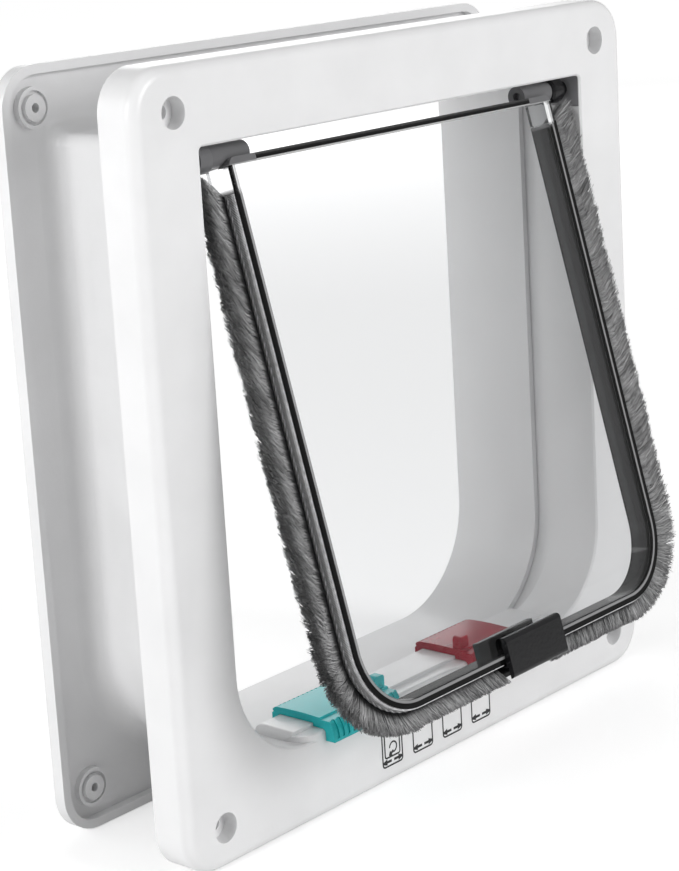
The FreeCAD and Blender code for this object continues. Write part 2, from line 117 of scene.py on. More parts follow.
# Bands of the clear flap that carry painted reflections, shade and highlights, in millimetres: out from
# its edge, from its front, up and aside when closed
FLANGE_BAND = (-2.15, 3.0)
# A painted dark reflection ring and a painted highlight ring on the flap's front face
PAINTED_DARK_RING = (-1.15, 0.6)
PAINTED_HIGHLIGHT_RING = (-2.05, -1.25)
RING_FACE = (EDGE_FRONT - 1.0, EDGE_FRONT + 0.75)
FLANGE_RISE = (-200.0, SEAL_TOP + 0.5)
LOW_RISE = (-200.0, -66.0)
# The clear barrels are painted grey as reflection
BARREL_SPAN = (66.3, 90.0)
BARREL_RISE = (HINGE_Z - 3.45, HINGE_Z + 6.0)
# The top bar carries a painted highlight and painted dark reflections
BAR_RISE = (HINGE_Z - 3.6, HINGE_Z - 1.0)

# The printed signs on the front face, in millimetres
SIGN_COUNT = 4
SIGN_FIRST_X = -24.1
SIGN_LOW = -111.5
ARROW_RISE = 1.75
ARROW_LENGTH = 4.6
DOOR_RISE = 1.1
SWING_RADIUS = 2.0
SWING_RISE = 3.2
SWING_ASIDE = 0.4
INK_LIFT = 0.04

# The floor, in metres: its side, its gap to the part, and its glow near the part and far off
FLOOR_SIDE = 12.0
FLOOR_GAP = 0.0002
GLOW_NEAR = (0.8, 0.41)
GLOW_FAR = (2.4, 0.74)
GLOSS_SHARE = 0.2

# The picture's camera: its axes in the frame, its picture in pixels and its film in millimetres
CAMERA_RIGHT = (0.6532, -0.7548, -0.0595)
CAMERA_FORWARD = (0.7282, 0.6475, -0.2247)
PRINCIPAL_POINT = (323.7, 390.1)
PICTURE_SIZE = (679.0, 871.0)
FILM_SIDE = 36.0


def colour_property(name, description, default):
    """A colour that a user can change."""
    return FloatVectorProperty(
        name=name, description=description, subtype="COLOR", size=3, min=0.0, max=1.0, default=default)


def length_property(name, description, default, low=0.0, high=10.0):
    """A length in metres, shown with its unit."""
    return FloatProperty(
        name=name, description=description, default=default, min=low, max=high,
        unit="LENGTH", precision=5)


class PlasticSettings(bpy.types.PropertyGroup):
    """Colours of the moulded pieces"""
    white: colour_property("White", "Front frame's plastic", (0.82, 0.82, 0.825))
    # Rear frame: the same white plastic as the front, set a little darker as painted shade
    rear_white_painted_shade: colour_property("Rear white", "Rear frame's plastic", (0.78, 0.78, 0.785))
    smoke: colour_property("Clear", "Tint of the clear flap", (0.825, 0.83, 0.835))
    # Painted light: the dark reflections and shade painted into the clear flange
    painted_flange_light: colour_property("Clear edge", "Light in the clear flap's flange", (0.06, 0.06, 0.062))
    black: colour_property("Black", "Clip and right hinge collar", (0.008, 0.008, 0.009))
    grey: colour_property("Grey", "Hinge keepers", (0.26, 0.26, 0.27))
    green: colour_property("Green", "Left latch", (0.02, 0.42, 0.44))
    red: colour_property("Red", "Right latch", (0.30, 0.001, 0.016))


class BrushSettings(bpy.types.PropertyGroup):
    """Sizes and colours of the brush seals"""
    fibres: IntProperty(
        name="Fibres", description="Fibres in each seal", default=24800, min=100, max=24900)
    fibre_width: length_property("Fibre width", "Width of a fibre at its middle", 0.00026)
    side_height: length_property("Side height", "Pile height along the sides", 0.0114)
    low_height: length_property("Bottom height", "Pile height along the bottom edge", 0.0069)
    tuft: length_property("Tuft", "Distance between the tufts that the fibres gather in", 0.0011)
    gather: FloatProperty(
        name="Gather", description="How far the tips of a tuft draw together", default=0.25,
        min=0.0, max=1.0, subtype="FACTOR")
    side_comb: FloatProperty(
        name="Side comb", description="How far the fibres at the side lean down", default=-0.6,
        min=-1.0, max=1.0)
    low_comb: FloatProperty(
        name="Bottom comb", description="How far the fibres at the bottom lean towards the clip",
        default=0.45, min=-1.0, max=1.0)
    forward_lean: FloatProperty(
        name="Forward lean", description="How far the fibres lean to the front", default=0.3,
        min=0.0, max=1.0)
    seed: IntProperty(name="Seed", description="Seed of the fibres' places", default=7, min=0)
    # The root colour is painted shade deep in the pile
    root: colour_property("Root", "Colour deep in the pile", (0.035, 0.035, 0.036))
    tip: colour_property("Tip", "Colour of the fibres", (0.62, 0.62, 0.625))
    tape: colour_property("Tape", "Woven backing", (0.7, 0.7, 0.71))
    cord_radius: length_property("Selvedge", "Radius of the twisted cord before the fibres", 0.0005)
    cord_pitch: length_property("Selvedge pitch", "Length of one turn of the twisted cord", 0.0026)


class SignSettings(bpy.types.PropertyGroup):
    """Sizes of the printed setting signs"""
    width: length_property("Width", "Width of a sign", 0.0103)
    height: length_property("Height", "Height of a sign", 0.0134)
    pitch: length_property("Pitch", "Distance from one sign to the next", 0.0154)
    line: length_property("Line", "Width of a printed line", 0.00055)
    arrow: length_property("Arrow", "Width of an arrow's head", 0.0021)
    ink: colour_property("Ink", "Printed ink", (0.012, 0.012, 0.013))


class StudioSettings(bpy.types.PropertyGroup):
    """Camera, lamps and surround"""
    camera_place: FloatVectorProperty(
        name="Camera", description="Camera's place", default=(-0.5481, -0.4462, 0.1702),
        subtype="TRANSLATION", unit="LENGTH")
    focal_length: FloatProperty(
        name="Focal length", description="Lens for a long side of 36 mm", default=95.67,
        min=10.0, max=300.0)
    side_power: FloatProperty(
        name="Side lamp", description="Power of the soft lamp at the left", default=12.8, min=0.0,
        unit="POWER")
    front_power: FloatProperty(
        name="Front lamp", description="Power of the soft lamp in front", default=21.0, min=0.0,
        unit="POWER")
    top_power: FloatProperty(
        name="Top lamp", description="Power of the soft lamp above", default=2.3, min=0.0,
        unit="POWER")
    right_power: FloatProperty(
        name="Right lamp", description="Power of the soft lamp at the right, behind", default=5.5,
        min=0.0, unit="POWER")
    back_power: FloatProperty(
        name="Back lamp", description="Power of the soft lamp behind the tunnel", default=6.0, min=0.0,
        unit="POWER")
    sky: FloatProperty(
        name="Sky", description="Strength of the white surround", default=0.29, min=0.0, max=5.0)


SETTINGS = (
    ("pet_flap_plastic", PlasticSettings),
    ("pet_flap_brush", BrushSettings),
    ("pet_flap_signs", SignSettings),
    ("pet_flap_studio", StudioSettings),
)


def deselect_all():
    """Nothing selected, in object mode."""
    if bpy.context.mode != "OBJECT":
        bpy.ops.object.mode_set(mode="OBJECT")
    bpy.ops.object.select_all(action="DESELECT")


def new_material(name):
    """An empty node material and its Principled shader."""
    material = bpy.data.materials.new(name)
    material.use_nodes = True
    nodes = material.node_tree.nodes
    shader = nodes.get("Principled BSDF")
    return material, nodes, material.node_tree.links, shader


def object_coordinates(nodes, links, scale=(1, 1, 1), location=(0, 0, 0), rotation=(0, 0, 0)):
    """Object coordinates through a Mapping node."""
    source = nodes.new("ShaderNodeTexCoord")
    mapping = nodes.new("ShaderNodeMapping")
    mapping.inputs["Scale"].default_value = scale
    mapping.inputs["Location"].default_value = location
    mapping.inputs["Rotation"].default_value = rotation
    links.new(source.outputs["Object"], mapping.inputs["Vector"])
    return mapping.outputs["Vector"]


def noise(nodes, links, vector, scale, detail=2.0, roughness=0.5):
    """A noise texture on the given coordinates."""
    texture = nodes.new("ShaderNodeTexNoise")
    texture.inputs["Scale"].default_value = scale
    texture.inputs["Detail"].default_value = detail
    texture.inputs["Roughness"].default_value = roughness
    links.new(vector, texture.inputs["Vector"])
    return texture.outputs["Fac"]


def ramp(nodes, links, factor, stops):
    """A colour ramp with the given (place, colour) stops."""
    node = nodes.new("ShaderNodeValToRGB")
    elements = node.color_ramp.elements
    while len(elements) > 1:
        elements.remove(elements[-1])
    elements[0].position = stops[0][0]
    elements[0].color = (*stops[0][1], 1.0)
    for place, colour in stops[1:]:
        element = elements.new(place)
        element.color = (*colour, 1.0)
    links.new(factor, node.inputs["Fac"])
    return node.outputs["Color"]


def bump(nodes, links, height, shader, distance, strength=1.0):
    """Bump from a height, into the shader's normal."""
    node = nodes.new("ShaderNodeBump")
    node.inputs["Distance"].default_value = distance
    node.inputs["Strength"].default_value = strength
    links.new(height, node.inputs["Height"])
    links.new(node.outputs["Normal"], shader.inputs["Normal"])


def scaled(colour, factor):
    """A colour made lighter or darker."""
    return tuple(min(1.0, c * factor) for c in colour)


def moulded_plastic(name, colour, roughness, grain=900.0, depth=0.00002, spread=0.03, specular=0.5):
    """Moulded plastic with a faint cloudiness and a fine eroded grain."""
    material, nodes, links, shader = new_material(name)
    vector = object_coordinates(nodes, links)
    clouds = noise(nodes, links, vector, 35.0, 3.0)
    tone = ramp(nodes, links, clouds, (
        (0.3, scaled(colour, 1.0 - spread)), (0.7, scaled(colour, 1.0 + spread))))
    links.new(tone, shader.inputs["Base Color"])
    gloss = nodes.new("ShaderNodeMapRange")
    gloss.inputs["To Min"].default_value = roughness * 0.9
    gloss.inputs["To Max"].default_value = roughness * 1.1
    links.new(clouds, gloss.inputs["Value"])
    links.new(gloss.outputs["Result"], shader.inputs["Roughness"])
    bump(nodes, links, noise(nodes, links, vector, grain, 2.0), shader, depth)
    shader.inputs["Specular IOR Level"].default_value = specular
    return material


def maths(nodes, links, operation, *values):
    """A Math node; each value is a number or another node's output."""
    node = nodes.new("ShaderNodeMath")
    node.operation = operation
    for place, value in enumerate(values):
        if isinstance(value, (int, float)):
            node.inputs[place].default_value = value
        else:
            links.new(value, node.inputs[place])
    return node.outputs["Value"]


def between(nodes, links, value, low, high, soft=0.08):
    """A factor that is 1 where the value lies between two limits, with soft ends."""
    sides = []
    for start, end in ((low - soft, low + soft), (high + soft, high - soft)):
        node = nodes.new("ShaderNodeMapRange")
        node.inputs["From Min"].default_value = start
        node.inputs["From Max"].default_value = end
        links.new(value, node.inputs["Value"])
        sides.append(node.outputs["Result"])
    return maths(nodes, links, "MULTIPLY", *sides)


def blended(nodes, links, factor, first, second):
    """One colour over another by a factor; each colour is a triple or another node's output."""
    node = nodes.new("ShaderNodeMix")
    node.data_type = "RGBA"
    for socket, value in ((node.inputs[6], first), (node.inputs[7], second)):
        if isinstance(value, bpy.types.NodeSocket):
            links.new(value, socket)
        else:
            socket.default_value = (*value, 1.0)
    links.new(factor, node.inputs["Factor"])
    return node.outputs[2]


def multiplied(nodes, links, first, second):
    """One colour times another; both are node outputs."""
    node = nodes.new("ShaderNodeMix")
    node.data_type = "RGBA"
    node.blend_type = "MULTIPLY"
    node.inputs["Factor"].default_value = 1.0
    links.new(first, node.inputs[6])
    links.new(second, node.inputs[7])
    return node.outputs[2]


def own_number(nodes, name):
    """A number that the piece's own vertices carry."""
    node = nodes.new("ShaderNodeAttribute")
    node.attribute_name = name
    return node.outputs["Fac"]


def closed_place(nodes, links):
    """Place on the flap in millimetres as if it hung closed: x, y, z and how far out from its edge."""
    angle = math.radians(OPEN_ANGLE)
    turned_y = HINGE_Y * math.cos(angle) - HINGE_Z * math.sin(angle)
    turned_z = HINGE_Y * math.sin(angle) + HINGE_Z * math.cos(angle)
    vector = object_coordinates(
        nodes, links, scale=(1.0 / MM,) * 3, rotation=(angle, 0, 0),
        location=(0, HINGE_Y - turned_y, HINGE_Z - turned_z))
    split = nodes.new("ShaderNodeSeparateXYZ")
    links.new(vector, split.inputs["Vector"])
    x, y, z = (split.outputs[axis] for axis in "XYZ")
    beside = maths(nodes, links, "ABSOLUTE", x)
    beside = maths(nodes, links, "SUBTRACT", beside, EDGE_HALF_WIDTH - EDGE_CORNER)
    below = maths(nodes, links, "SUBTRACT", EDGE_BOTTOM + EDGE_CORNER, z)
    beside_out = maths(nodes, links, "MAXIMUM", beside, 0.0)
    below_out = maths(nodes, links, "MAXIMUM", below, 0.0)
    square = maths(nodes, links, "ADD", maths(nodes, links, "POWER", beside_out, 2.0),
                   maths(nodes, links, "POWER", below_out, 2.0))
    corner = maths(nodes, links, "SQRT", square)
    inner = maths(nodes, links, "MINIMUM", maths(nodes, links, "MAXIMUM", beside, below), 0.0)
    edge = maths(nodes, links, "SUBTRACT", maths(nodes, links, "ADD", corner, inner), EDGE_CORNER)
    return x, y, z, edge


def share_of(nodes, links, value, low, high):
    """How far a value has come from one limit to the other."""
    return maths(nodes, links, "DIVIDE", maths(nodes, links, "SUBTRACT", value, low), high - low)


def painted_flange_tone(nodes, links, y, z, painted_light_tint):
    """The clear flange's painted reflections and shade from front to rear, darker along the bottom, in
    slightly wavy bands.
    """
    depth = share_of(nodes, links, y, EDGE_FRONT, EDGE_FRONT + EDGE_DEPTH)
    streaks = object_coordinates(nodes, links, scale=(60.0, 420.0, 60.0))
    streak = noise(nodes, links, streaks, 1.0, 3.0)
    wobble = maths(nodes, links, "MULTIPLY", maths(nodes, links, "SUBTRACT", streak, 0.5), 0.06)
    depth = maths(nodes, links, "ADD", depth, wobble)
    side_painted_tone = ramp(nodes, links, depth, (
        (0.0, (0.004,) * 3), (0.30, (0.006,) * 3), (0.36, scaled(painted_light_tint, 0.3)),
        (0.62, scaled(painted_light_tint, 0.45)), (0.72, painted_light_tint), (0.92, scaled(painted_light_tint, 1.15)),
        (0.965, (0.006,) * 3), (1.0, (0.003,) * 3)))
    low_painted_tone = ramp(nodes, links, depth, (
        (0.0, (0.003,) * 3), (0.36, (0.006,) * 3), (0.6, scaled(painted_light_tint, 0.3)),
        (0.9, scaled(painted_light_tint, 0.55)), (0.965, (0.004,) * 3), (1.0, (0.003,) * 3)))
    return blended(nodes, links, between(nodes, links, z, *LOW_RISE, soft=8.0), side_painted_tone, low_painted_tone)


def painted_bar_tone(nodes, links, z):
    """Painted light on the bar at the flap's top: a light lower edge as painted highlight, then dark as
    painted reflection, then grey.
    """
    return ramp(nodes, links, share_of(nodes, links, z, *BAR_RISE), (
        (0.0, (0.7,) * 3), (0.12, (0.7,) * 3), (0.17, (0.005,) * 3), (0.5, (0.008,) * 3),
        (0.62, (0.06,) * 3), (1.0, (0.12,) * 3)))


def clear_plastic(name, tint, painted_light_tint):
    """Polished clear plastic whose flange, front ring, bar and barrels carry painted dark reflections and
    shade, with painted highlights.
    """
    material, nodes, links, shader = new_material(name)
    x, y, z, edge = closed_place(nodes, links)
    # The flange gets painted reflections and shade in place of the clear tint
    on_flange = maths(nodes, links, "MULTIPLY", between(nodes, links, edge, *FLANGE_BAND),
                      between(nodes, links, z, *FLANGE_RISE, soft=1.0))
    tone = blended(nodes, links, on_flange, tint, painted_flange_tone(nodes, links, y, z, painted_light_tint))
    front = between(nodes, links, y, *RING_FACE)
    # Front rings: a painted dark reflection line and a painted highlight line
    for ring, colour in ((PAINTED_DARK_RING, (0.004, 0.004, 0.004)), (PAINTED_HIGHLIGHT_RING, (0.3, 0.3, 0.305))):
        on_ring = maths(nodes, links, "MULTIPLY", front, between(nodes, links, edge, *ring))
        tone = blended(nodes, links, on_ring, tone, colour)
    # Barrels: grey painted reflection on the clear plastic, made mostly opaque
    aside = maths(nodes, links, "ABSOLUTE", x)
    barrels = maths(nodes, links, "MULTIPLY", between(nodes, links, z, *BARREL_RISE),
                    between(nodes, links, aside, *BARREL_SPAN))
    tone = blended(nodes, links, barrels, tone, (0.17, 0.17, 0.175))
    # Top bar: painted highlight on its lower edge and painted dark reflection above it
    bar = between(nodes, links, z, *BAR_RISE, soft=0.05)
    bar = maths(nodes, links, "MULTIPLY", bar, maths(nodes, links, "SUBTRACT", 1.0, barrels))
    tone = blended(nodes, links, bar, tone, painted_bar_tone(nodes, links, z))
    links.new(tone, shader.inputs["Base Color"])
    # Where light is painted, the plastic is made mostly opaque so the painted colour shows
    solid = maths(nodes, links, "MAXIMUM", on_flange, barrels)
    solid = maths(nodes, links, "MAXIMUM", solid, maths(nodes, links, "MULTIPLY", bar, 0.7))
    clear = maths(nodes, links, "SUBTRACT", 1.0, maths(nodes, links, "MULTIPLY", solid, 0.9))
    links.new(clear, shader.inputs["Transmission Weight"])
    shader.inputs["IOR"].default_value = 1.28
    shader.inputs["Roughness"].default_value = 0.02
    return material


def fur(name, root, tip):
    """Brush fibres with painted shade: dark at the root, deep in the pile, and at the cut end, each with
    its own random tone.
    """
    material, nodes, links, shader = new_material(name)
    # Painted shade: the ramp darkens each fibre towards its root and at its cut end
    tone = ramp(nodes, links, own_number(nodes, "height"), (
        (0.0, root), (0.22, scaled(root, 2.0)), (0.4, scaled(tip, 0.85)), (0.7, tip),
        (0.92, scaled(tip, 0.8)), (1.0, scaled(tip, 0.5))))
    clouds = noise(nodes, links, object_coordinates(nodes, links), 160.0, 2.0)
    cloudy = maths(nodes, links, "SUBTRACT", clouds, 0.5)
    shade = maths(nodes, links, "ADD", own_number(nodes, "shade"), cloudy)
    grey = ramp(nodes, links, shade, ((0.0, (0.3,) * 3), (1.0, (1.0,) * 3)))
    links.new(multiplied(nodes, links, tone, grey), shader.inputs["Base Color"])
    shader.inputs["Roughness"].default_value = 0.6
    shader.inputs["Specular IOR Level"].default_value = 0.3
    return material


def woven_tape(name, colour):
    """Pale twill with a lighter plain hem, read by the tape's own length and width."""
    material, nodes, links, shader = new_material(name)
    across = own_number(nodes, "across")
    turn = maths(nodes, links, "ADD", own_number(nodes, "along"), across)
    wave = maths(nodes, links, "SINE", maths(nodes, links, "MULTIPLY", turn, 2.0 * math.pi))
    rib = maths(nodes, links, "ADD", maths(nodes, links, "MULTIPLY", wave, 0.5), 0.5)
    twill = ramp(nodes, links, rib, (
        (0.05, scaled(colour, 0.4)), (0.5, scaled(colour, 0.7)), (1.0, colour)))
    hem = between(nodes, links, across, -1.0, TAPE_HEM)
    tone = blended(nodes, links, hem, twill, scaled(colour, 1.25))
    lint = ramp(nodes, links, noise(nodes, links, object_coordinates(nodes, links), 700.0, 3.0), (
        (0.35, (0.7,) * 3), (0.65, (1.0,) * 3)))
    links.new(multiplied(nodes, links, tone, lint), shader.inputs["Base Color"])
    bump(nodes, links, rib, shader, 0.0002)
    shader.inputs["Roughness"].default_value = 0.75
    return material


def ink(name, colour):
    """Printed ink with a slightly broken edge."""
    material, nodes, links, shader = new_material(name)
    vector = object_coordinates(nodes, links)
    tone = ramp(nodes, links, noise(nodes, links, vector, 2500.0), (
        (0.3, scaled(colour, 0.7)), (0.75, scaled(colour, 2.0))))
    links.new(tone, shader.inputs["Base Color"])
    shader.inputs["Roughness"].default_value = 0.55
    return material


def dress_node(node, material):
    """Give a CAD node its finish."""
    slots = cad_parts[node].material_slots
    if not slots:
        raise RuntimeError("node %s has no material slot" % node)
    for place in slots:
        place.material = material


class PETFLAP_OT_plastic_finishes(bpy.types.Operator):
    """Give every moulded piece its plastic"""
    bl_idname = "petflap.plastic_finishes"
    bl_label = "Plastic Finishes"

    def execute(self, context):
        colours = context.scene.pet_flap_plastic
        white = moulded_plastic("white plastic", colours.white, 0.32)
        # The rear frame's white is set darker than the front's as painted shade
        rear_white_painted_shade = moulded_plastic("rear white plastic with painted shade", colours.rear_white_painted_shade, 0.38)
        black = moulded_plastic("black plastic", colours.black, 0.18, spread=0.2, specular=0.35)
        grey = moulded_plastic("grey plastic", colours.grey, 0.45, spread=0.1)
        # The left hinge collar is painted lighter than the right collar's black, as painted reflection
        collar_grey_painted_reflection = moulded_plastic("left collar grey with painted reflection", scaled(colours.grey, 0.5), 0.3, spread=0.1)
        green = moulded_plastic("green plastic", colours.green, 0.28, spread=0.06, specular=0.25)
        red = moulded_plastic("red plastic", colours.red, 0.28, spread=0.06, specular=0.2)
        clear = clear_plastic("clear plastic", colours.smoke, colours.painted_flange_light)
        steel, _, _, shader = new_material("pin steel")
        shader.inputs["Base Color"].default_value = (0.6, 0.6, 0.62, 1.0)
        shader.inputs["Metallic"].default_value = 1.0
        shader.inputs["Roughness"].default_value = 0.3
        ferrite = moulded_plastic("ferrite", (0.06, 0.06, 0.065), 0.6)
        finishes = {
            "front_frame": white, "rear_frame": rear_white_painted_shade, "flap": clear, "magnet_clip": black,
            "left_hinge_collar": collar_grey_painted_reflection, "right_hinge_collar": black,
            "left_hinge_keeper": grey, "right_hinge_keeper": grey,
            "green_latch": green, "red_latch": red, "flap_magnet": ferrite, "sill_magnet": ferrite,
            "left_hinge_pin": steel, "right_hinge_pin": steel,
        }
        for node, material in finishes.items():
            dress_node(node, material)
        return {"FINISHED"}


def swing_open(points):
    """Turn points given for the closed flap to the open rest position, in metres."""
    angle = math.radians(-OPEN_ANGLE)
    y = points[:, 1] - HINGE_Y * MM
    z = points[:, 2] - HINGE_Z * MM
    turned = points.copy()
    turned[:, 1] = y * math.cos(angle) - z * math.sin(angle) + HINGE_Y * MM
    turned[:, 2] = y * math.sin(angle) + z * math.cos(angle) + HINGE_Z * MM
    return turned


def edge_lengths():
    """Lengths of the side run, the corner and the bottom run of one seal, in metres."""
    side = (SEAL_TOP - EDGE_BOTTOM - EDGE_CORNER) * MM
    corner = math.pi / 2 * EDGE_CORNER * MM
    low = (EDGE_HALF_WIDTH - EDGE_CORNER - SEAL_INNER) * MM
    return side, corner, low


def edge_point(distance, side):
    """Points on the flap's edge, their outward normals and tangents, by length along it from the top."""
    side_run, corner_run, _ = edge_lengths()
    radius = EDGE_CORNER * MM
    centre_x = (EDGE_HALF_WIDTH - EDGE_CORNER) * MM
    centre_z = (EDGE_BOTTOM + EDGE_CORNER) * MM
    turn = np.clip((distance - side_run) / radius, 0.0, math.pi / 2)
    x = centre_x + radius * np.cos(turn) - np.maximum(distance - side_run - corner_run, 0.0)
    z = centre_z - radius * np.sin(turn) + np.maximum(side_run - distance, 0.0)
    zero = np.zeros_like(x)
    points = np.stack((side * x, zero, z), axis=1)
    normals = np.stack((side * np.cos(turn), zero, -np.sin(turn)), axis=1)
    tangents = np.stack((-side * np.sin(turn), zero, -np.cos(turn)), axis=1)
    return points, normals, tangents


def eased(distance, start, end):
    """From 0 to 1 between two lengths along the edge, slow at both ends."""
    share = np.clip((distance - start) / (end - start), 0.0, 1.0)
    return share * share * (3.0 - 2.0 * share)


def pile_height(distance, settings):
    """Pile height along the edge: full at the side, easing to the bottom's in the corner."""
    side_run, corner_run, _ = edge_lengths()
    share = eased(distance, side_run, side_run + corner_run)
    return settings.side_height + (settings.low_height - settings.side_height) * share


def mesh_object(name, vertices, faces, attributes=()):
    """A mesh piece from arrays, with named numbers on its vertices."""
    mesh = bpy.data.meshes.new(name)
    mesh.from_pydata([tuple(v) for v in vertices], [], faces)
    for key, values in attributes:
        attribute = mesh.attributes.new(key, "FLOAT", "POINT")
        attribute.data.foreach_set("value", np.asarray(values, np.float32))
    mesh.update()
    piece = bpy.data.objects.new(name, mesh)
    bpy.context.scene.collection.objects.link(piece)
    return piece


def soft_waves(values, period, seed):
    """Random waves along a length, from about -1 to 1."""
    rng = np.random.default_rng(seed)
    total = np.zeros_like(values)
    for k in range(1, 6):
        phase = rng.uniform(0.0, 2.0 * math.pi)
        total += np.sin(values * 2.0 * math.pi * k / period + phase) / k
    return total / 1.8


def tufts(y, distance, size):
    """Each fibre's tuft number: cells along and across the pile, every other row shifted by half."""
    row = np.floor(y / size)
    column = np.floor(distance / size + 0.5 * (row % 2))
    cells = (row * TUFT_PRIMES[0] + column * TUFT_PRIMES[1]).astype(np.int64)
    _, group = np.unique(cells, return_inverse=True)
    return group


def fibre_mesh(lines, turns, half):
    """Vertices, faces and heights of the fibres: a point at the root, three sides, an edge at the tip."""
    roots, middle, tip = lines
    columns = [roots] + [middle + turn * half for turn in turns]
    columns += [tip + turn * half * TIP_SHARE for turn in turns[:2]]
    vertices = np.stack(columns, axis=1).reshape(-1, 3)
    one = np.array((
        (0, 2, 1), (0, 3, 2), (0, 1, 3), (1, 2, 5), (1, 5, 4), (2, 3, 5), (3, 1, 4), (3, 4, 5)))
    count = len(roots)
    faces = (one[None] + 6 * np.arange(count)[:, None, None]).reshape(-1, 3).tolist()
    heights = np.tile(np.array([0.0] + [MIDDLE_SHARE] * 3 + [1.0] * 2, np.float32), count)
    return vertices, faces, heights


def brush(name, side, settings):
    """Fine blunt fibres standing on the tape, combed along it and leaning to the front."""
    rng = np.random.default_rng(settings.seed + (1 if side > 0 else 0))
    count = settings.fibres
    distance = rng.uniform(0.0, sum(edge_lengths()), count)
    low_y, high_y = PILE_FRONT * MM, PILE_REAR * MM
    y = rng.uniform(low_y, high_y, count)
    points, normals, tangents = edge_point(distance, side)
    rearward = np.zeros((count, 3))
    rearward[:, 1] = 1.0
    roots = points + normals * ((TAPE_OFFSET + TAPE_THICKNESS * ROOT_SHARE) * MM)
    roots[:, 1] = y
    height = pile_height(distance, settings) - TAPE_THICKNESS * (1.0 - ROOT_SHARE) * MM
    height *= rng.uniform(0.93, 1.0, count)
    # The tips of a tuft draw together towards its middle, which lies a little off at random
    tuft = settings.tuft
    group = tufts(y, distance, tuft)
    groups = group.max() + 1
    members = np.bincount(group, minlength=groups)
    middle_s = np.bincount(group, distance, groups) / members + rng.normal(0.0, tuft * 0.2, groups)
    middle_y = np.bincount(group, y, groups) / members + rng.normal(0.0, tuft * 0.2, groups)
    draw = settings.gather * rng.uniform(0.3, 1.5, groups)[group]
    pull_s = (middle_s[group] - distance) * draw
    pull_y = (middle_y[group] - y) * draw

    def stray(by_tuft, by_fibre):
        """Random numbers, one part shared by a tuft and one of each fibre's own."""
        return rng.normal(0.0, by_tuft, groups)[group] + rng.normal(0.0, by_fibre, count)

    side_run, corner_run, _ = edge_lengths()
    turned = eased(distance, side_run * 0.85, side_run + corner_run)
    lean_s = settings.side_comb + (settings.low_comb - settings.side_comb) * turned
    lean_s += WAVE * soft_waves(distance + 0.8 * y, WAVE_LENGTH, settings.seed + 3)
    lean_s += stray(COMB_STRAY, COMB_STRAY)
    lean_y = LEAN_FAN * ((y - low_y) / (high_y - low_y) - 0.5) - settings.forward_lean
    lean_y += stray(LEAN_STRAY, LEAN_STRAY)
    bow = BOW + stray(0.05, 0.07)

    def along_fibres(share):
        """Middle line of every fibre at a share of its height."""
        forward = (lean_s * share ** 1.5 + bow * math.sin(math.pi * share)) * height + pull_s * share
        sideways = (lean_y * height + pull_y) * share
        return (roots + normals * (height * share)[:, None] + tangents * forward[:, None]
                + rearward * sideways[:, None])

    spin = rng.uniform(0.0, 2.0 * math.pi, count)
    turns = []
    for k in range(3):
        angle = spin + 2.0 * math.pi * k / 3
        turns.append(tangents * np.cos(angle)[:, None] + rearward * np.sin(angle)[:, None])
    half = settings.fibre_width / 2 * rng.uniform(0.75, 1.25, count)[:, None]
    vertices, faces, heights = fibre_mesh(
        (roots, along_fibres(MIDDLE_SHARE), along_fibres(1.0)), turns, half)
    shades = np.repeat(0.5 + stray(0.10, 0.2), len(vertices) // count)
    return mesh_object(name, swing_open(vertices), faces, (("height", heights), ("shade", shades)))


def edge_sweep(name, side, rows, steps, attributes=()):
    """A closed band along the flap's edge; each row is (offset, y) in millimetres, by step."""
    points, normals, _ = edge_point(np.linspace(0.0, sum(edge_lengths()), steps), side)
    around = len(rows)
    columns = []
    for offset, y in rows:
        column = points + normals * (np.asarray(offset) * MM).reshape(-1, 1)
        column[:, 1] = np.asarray(y) * MM
        columns.append(column)
    vertices = np.stack(columns, axis=1).reshape(-1, 3)
    faces = [tuple(range(around))]
    for i in range(steps - 1):
        for k in range(around):
            n = (k + 1) % around
            faces.append((around * i + k, around * (i + 1) + k, around * (i + 1) + n, around * i + n))
    faces.append(tuple(around * (steps - 1) + k for k in reversed(range(around))))
    piece = mesh_object(name, swing_open(vertices), faces, attributes)
    recalculate_normals(piece)
    return piece


def pile_core(name, side, settings):
    """Dense middle of the pile, which closes the view between the fibres, coloured dark as painted shade.
    """
    base = TAPE_OFFSET + TAPE_THICKNESS * 0.8
    distance = np.linspace(0.0, sum(edge_lengths()), SEAL_STEPS)
    rise = pile_height(distance, settings) / MM * CORE_SHARE
    ahead = rise * settings.forward_lean
    rows = (
        (base, CORE_FRONT), (base + rise, CORE_FRONT + CORE_TAPER - ahead),
        (base + rise, CORE_REAR - CORE_TAPER - ahead), (base, CORE_REAR))
    # Painted shade: low heights and a low shade value give the core the fur's dark root colour
    heights = np.tile(np.array([0.0, 0.2, 0.2, 0.0]), SEAL_STEPS)
    shades = np.full(len(heights), 0.4)
    return edge_sweep(name, side, rows, SEAL_STEPS, (("height", heights), ("shade", shades)))


def tape_band(name, side):
    """The tape itself, flat on the flange between its lips."""
    top = TAPE_OFFSET + TAPE_THICKNESS
    rows = ((TAPE_OFFSET, TAPE_FRONT), (top, TAPE_FRONT), (top, TAPE_REAR), (TAPE_OFFSET, TAPE_REAR))
    lengths = np.linspace(0.0, sum(edge_lengths()), SEAL_STEPS)
    along = np.repeat(lengths, len(rows)) / (TAPE_WEAVE * MM)
    width = (TAPE_REAR - TAPE_FRONT) / TAPE_WEAVE
    girth = np.cumsum([0.0, TAPE_THICKNESS, width, TAPE_THICKNESS])
    across = np.tile(girth, SEAL_STEPS)
    return edge_sweep(name, side, rows, SEAL_STEPS, (("along", along), ("across", across)))


